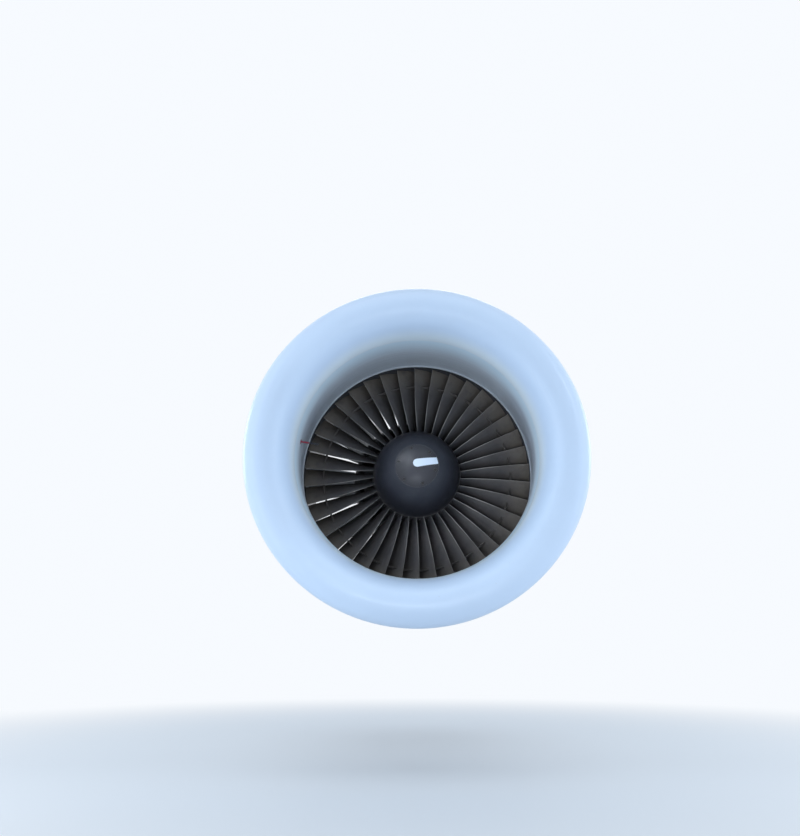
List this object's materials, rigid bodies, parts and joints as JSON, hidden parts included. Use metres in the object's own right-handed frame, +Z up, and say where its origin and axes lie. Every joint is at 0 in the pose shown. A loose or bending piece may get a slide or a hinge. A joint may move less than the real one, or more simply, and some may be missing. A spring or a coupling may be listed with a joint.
{
  "type": "turbofan jet engine",
  "caption": "High-bypass turbofan engine with a rolled bellmouth intake, part-span shrouded fan, bare core, gearbox and exhaust plug.",
  "frame": {"origin": "centre of the forward mount's bolting face, above the engine axis", "axes": "+Z up, out of the forward mount's face; +Y aft along the engine, from intake to exhaust; +X to the right seen from the intake"},
  "size_m": [2.92, 5.106, 2.9196],
  "materials": {
    "white_moulding": "glossy white moulded shell",
    "brace_paint": "painted light grey",
    "duct_metal": "brushed round the axis",
    "probe_red": "red anodised",
    "case_metal": "satin metal",
    "rub_compound": "dark soft compound",
    "vane_alloy": "satin metal",
    "frame_metal": "cast, machined faces",
    "spinner_grey": "matt charcoal paint",
    "bolt_steel": "plated steel",
    "blade_metal": "dark satin metal with bright leading edges",
    "shaft_steel": "ground steel",
    "core_metal": "heat-tinted metal",
    "lever_bronze": "bronze",
    "hot_metal": "heat-tinted alloy",
    "gearbox_metal": "cast, grey",
    "unit_paint": "black painted",
    "mount_paint": "grey painted"
  },
  "bodies": {
    "engine": {"bellmouth": "white_moulding", "bellmouth_braces": "brace_paint", "inlet_duct": "duct_metal", "inlet_probe": "probe_red", "fan_case": "case_metal", "rub_strip": "rub_compound", "outlet_vanes": "vane_alloy", "fan_frame": "frame_metal", "splitter": "vane_alloy", "booster_case": "vane_alloy", "bearing_support": "frame_metal", "fan_bearing": "bolt_steel", "thrust_bearing": "bolt_steel", "core_front_bearing": "bolt_steel", "core_rear_bearing": "bolt_steel", "rear_bearing": "bolt_steel", "compressor_case": "core_metal", "compressor_vanes": "vane_alloy", "vane_levers": "lever_bronze", "combustor_case": "core_metal", "combustor_liner": "hot_metal", "fuel_nozzles": "bolt_steel", "fuel_manifold": "bolt_steel", "igniters": "bolt_steel", "core_turbine_vanes": "hot_metal", "lp_turbine_case": "hot_metal", "lp_turbine_vanes": "hot_metal", "cooling_manifold": "bolt_steel", "rear_frame": "hot_metal", "exhaust_nozzle": "hot_metal", "exhaust_plug": "hot_metal", "gearbox_case": "gearbox_metal", "starter": "gearbox_metal", "fuel_pump": "gearbox_metal", "oil_pump": "gearbox_metal", "generator": "case_metal", "hydraulic_pump": "gearbox_metal", "oil_tank": "case_metal", "control_unit": "unit_paint", "heat_exchanger": "case_metal", "pipes": "bolt_steel", "front_mount": "mount_paint", "case_bolts": "bolt_steel"},
    "fan_rotor": {"spinner": "spinner_grey", "spinner_cap": "spinner_grey", "spinner_bolts": "bolt_steel", "fan_blades": "blade_metal", "fan_disc": "blade_metal", "fan_shaft": "shaft_steel", "booster_spool": "vane_alloy", "lp_shaft": "shaft_steel", "lp_turbine_rotor": "hot_metal"},
    "core_rotor": {"core_spool": "shaft_steel", "core_turbine_rotor": "hot_metal"},
    "drive_shaft": {"drive_shaft": "shaft_steel"},
    "drive_gear": {"drive_gear": "shaft_steel"},
    "starter_gear": {"starter_gear": "shaft_steel"},
    "fuel_gear": {"fuel_gear": "shaft_steel"},
    "generator_gear": {"generator_gear": "shaft_steel"},
    "hydraulic_gear": {"hydraulic_gear": "shaft_steel"}
  },
  "joints": [
    {"name": "fan_spin", "type": "hinge", "parent": "engine", "child": "fan_rotor", "pos_m": [0, -0.6, -1.25], "axis": [0, 1, 0], "continuous": true},
    {"name": "core_spin", "type": "hinge", "parent": "engine", "child": "core_rotor", "pos_m": [0, 0.6, -1.25], "axis": [0, 1, 0], "continuous": true},
    {"name": "drive_shaft_spin", "type": "hinge", "parent": "engine", "child": "drive_shaft", "pos_m": [0, 0, -1.75], "axis": [0, 0, 1], "continuous": true},
    {"name": "drive_gear_spin", "type": "hinge", "parent": "engine", "child": "drive_gear", "pos_m": [0, 0.073, -2.54], "axis": [0, 1, 0], "continuous": true},
    {"name": "starter_gear_spin", "type": "hinge", "parent": "engine", "child": "starter_gear", "pos_m": [-0.15472, 0.073, -2.53069], "axis": [0, 1, 0], "continuous": true},
    {"name": "fuel_gear_spin", "type": "hinge", "parent": "engine", "child": "fuel_gear", "pos_m": [-0.29259, 0.073, -2.50638], "axis": [0, 1, 0], "continuous": true},
    {"name": "generator_gear_spin", "type": "hinge", "parent": "engine", "child": "generator_gear", "pos_m": [0.14975, 0.073, -2.53128], "axis": [0, 1, 0], "continuous": true},
    {"name": "hydraulic_gear_spin", "type": "hinge", "parent": "engine", "child": "hydraulic_gear", "pos_m": [0.27794, 0.073, -2.5097], "axis": [0, 1, 0], "continuous": true}
  ],
  "couplings": [
    {"joint": "drive_shaft_spin", "follows": "core_spin", "ratio": -1.6667},
    {"joint": "drive_gear_spin", "follows": "core_spin", "ratio": -1.6667},
    {"joint": "starter_gear_spin", "follows": "core_spin", "ratio": 1.7778},
    {"joint": "fuel_gear_spin", "follows": "core_spin", "ratio": -2.0513},
    {"joint": "generator_gear_spin", "follows": "core_spin", "ratio": 1.9048},
    {"joint": "hydraulic_gear_spin", "follows": "core_spin", "ratio": -2.2222}
  ]
}
